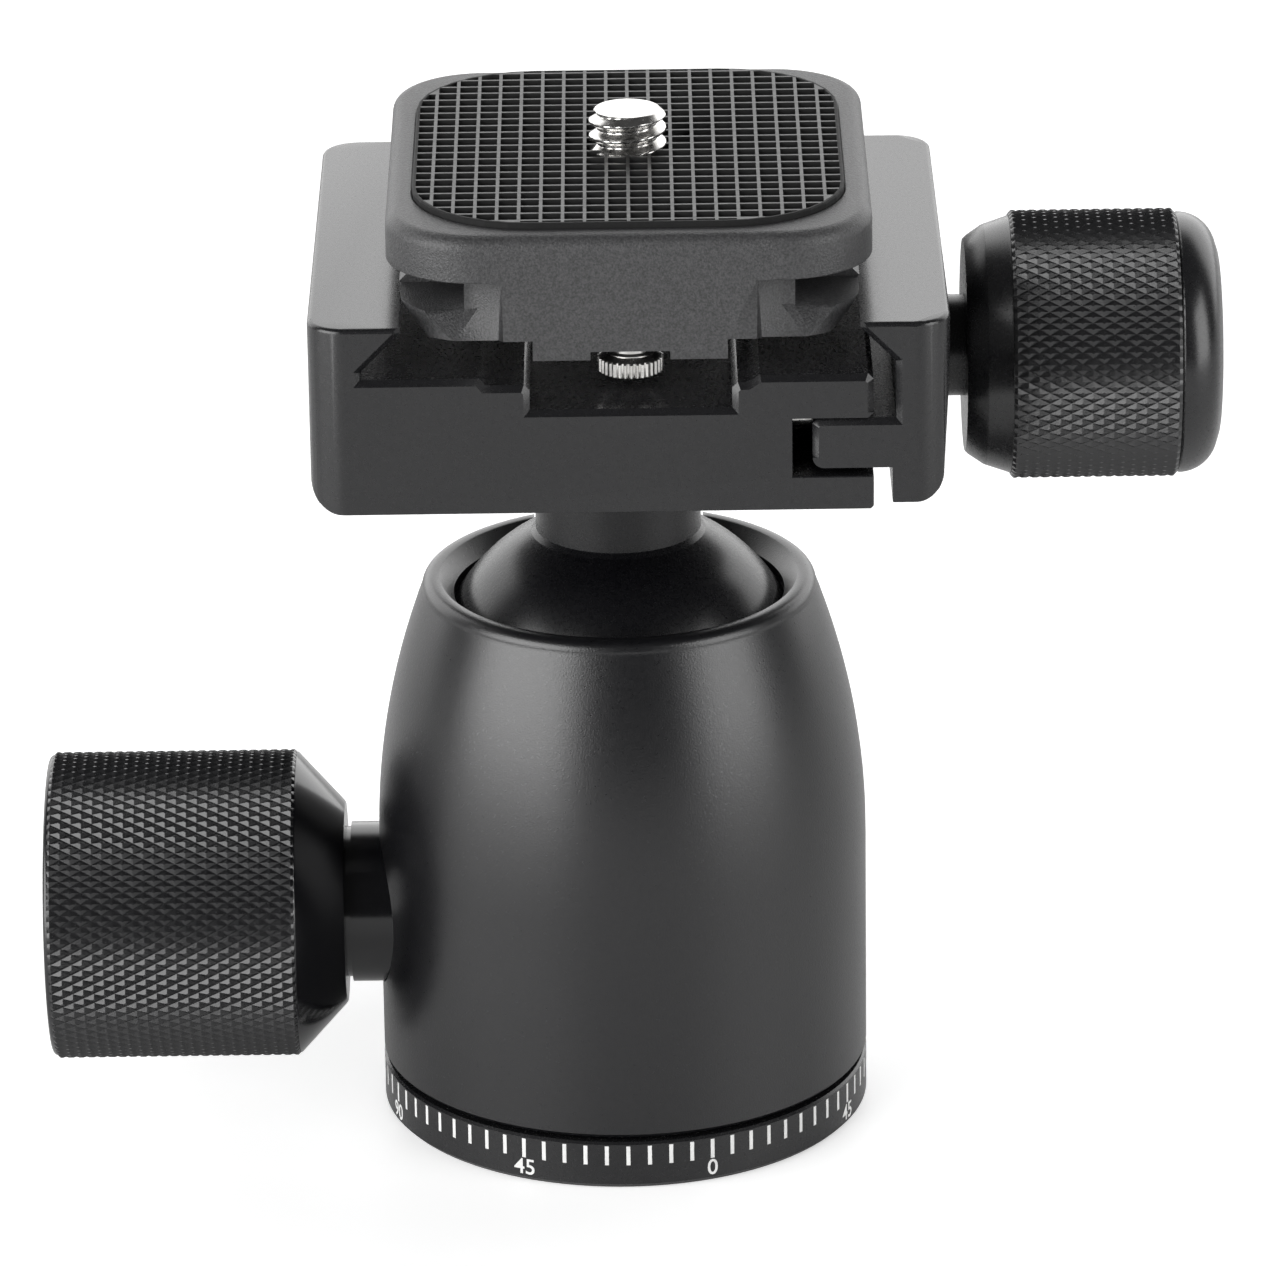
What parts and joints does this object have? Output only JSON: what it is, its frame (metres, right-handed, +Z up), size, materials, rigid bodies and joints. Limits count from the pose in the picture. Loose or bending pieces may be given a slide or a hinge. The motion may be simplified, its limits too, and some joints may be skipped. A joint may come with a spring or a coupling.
{
  "type": "tripod ball head",
  "caption": "Compact tripod ball head with a panning graduated base, a lockable ball in a barrel housing, a screw clamp with a sliding jaw and a dovetail camera plate.",
  "frame": {"origin": "centre of the tripod socket's mouth, on the base's underside", "axes": "+Z up along the pan axis, +X towards the clamp knob and away from the lock knob, +Y to the back"},
  "size_m": [0.0983, 0.0544, 0.0879],
  "materials": {
    "anodised_black": "satin black anodised",
    "knob_black": "satin black anodised, diamond knurled",
    "gloss_black": "glossy",
    "ball_black": "fine satin",
    "plate_grey": "bead blasted dark grey",
    "pad_rubber": "matt with a raised square grid",
    "bright_steel": "bright turned",
    "brass": "turned",
    "polymer_white": "matt",
    "polymer_black": "matt"
  },
  "bodies": {
    "base": {"base_plate": "anodised_black", "pan_bearing_washer": "polymer_white", "pan_wave_washer": "bright_steel", "pan_retaining_ring": "bright_steel"},
    "housing": {"housing": "anodised_black", "pan_carrier": "anodised_black", "wedge_floor": "bright_steel", "lock_bush": "brass", "ball_liner": "polymer_black"},
    "pan_brake": {"pan_brake_shoe": "brass"},
    "pan_lock": {"pan_lock_screw": "bright_steel", "pan_lock_knob": "knob_black"},
    "lock_wedge": {"wedge_slider": "brass"},
    "lock_knob": {"lock_knob": "knob_black", "lock_knob_collar": "gloss_black", "lock_screw": "bright_steel", "lock_knob_cap_screw": "bright_steel"},
    "pressure_block": {"pressure_block": "bright_steel"},
    "ball_cup": {"ball_cup": "polymer_white"},
    "ball": {"ball": "ball_black"},
    "clamp": {"clamp_fixing_screw": "bright_steel", "clamp_body": "anodised_black", "jaw_guide_pins": "bright_steel", "jaw_springs": "bright_steel"},
    "jaw": {"clamp_jaw": "anodised_black"},
    "clamp_knob": {"clamp_screw": "bright_steel", "clamp_knob": "knob_black", "clamp_knob_washer": "bright_steel"},
    "plate": {"plate_body": "plate_grey", "plate_pad": "pad_rubber", "stop_pins": "bright_steel"},
    "camera_screw": {"camera_screw": "bright_steel", "camera_screw_clip": "bright_steel"}
  },
  "joints": [
    {"name": "pan", "type": "hinge", "parent": "base", "child": "housing", "pos_m": [0, 0, 0.006], "axis": [0, 0, 1], "continuous": true},
    {"name": "pan_knob_turn", "type": "hinge", "parent": "pan_brake", "child": "pan_lock", "pos_m": [0, 0.02, 0.00655], "axis": [0, 1, 0], "range_deg": [0, 361]},
    {"name": "pan_brake_slide", "type": "slide", "parent": "housing", "child": "pan_brake", "axis": [0, 1, 0], "range_m": [0, 0.0005]},
    {"name": "lock_knob_turn", "type": "hinge", "parent": "lock_wedge", "child": "lock_knob", "pos_m": [-0.03, 0, 0.0176], "axis": [-1, 0, 0], "range_deg": [0, 361]},
    {"name": "lock_wedge_slide", "type": "slide", "parent": "housing", "child": "lock_wedge", "axis": [-1, 0, 0], "range_m": [0, 0.00125]},
    {"name": "pressure_drop", "type": "slide", "parent": "housing", "child": "pressure_block", "axis": [0, 0, -1], "range_m": [0, 0.00031]},
    {"name": "ball_swivel", "type": "hinge", "parent": "housing", "child": "ball_cup", "pos_m": [0, 0, 0.0369], "axis": [0, 0, 1], "continuous": true},
    {"name": "ball_tilt", "type": "hinge", "parent": "ball_cup", "child": "ball", "pos_m": [0, 0, 0.0369], "axis": [1, 0, 0], "range_deg": [-30, 30]},
    {"name": "head_spin", "type": "hinge", "parent": "ball", "child": "clamp", "pos_m": [0, 0, 0.0369], "axis": [0, 0, 1], "continuous": true},
    {"name": "clamp_knob_turn", "type": "hinge", "parent": "jaw", "child": "clamp_knob", "pos_m": [0.03, 0, 0.067], "axis": [1, 0, 0], "range_deg": [0, 1036]},
    {"name": "jaw_slide", "type": "slide", "parent": "clamp", "child": "jaw", "axis": [1, 0, 0], "range_m": [0, 0.0023], "deforming": ["jaw_springs"]},
    {"name": "plate_lift", "type": "slide", "parent": "clamp", "child": "plate", "axis": [0, 0, 1], "range_m": [0, 0.03]},
    {"name": "camera_screw_turn", "type": "hinge", "parent": "plate", "child": "camera_screw", "pos_m": [0.0012, 0, 0.085], "axis": [0, 0, 1], "continuous": true}
  ],
  "couplings": [
    {"joint": "pan_knob_turn", "follows": "pan_brake_slide", "rad_per_m": 12566},
    {"joint": "lock_knob_turn", "follows": "lock_wedge_slide", "rad_per_m": 5026.5},
    {"joint": "pressure_drop", "follows": "lock_wedge_slide", "ratio": 0.24},
    {"joint": "clamp_knob_turn", "follows": "jaw_slide", "rad_per_m": 7854}
  ]
}
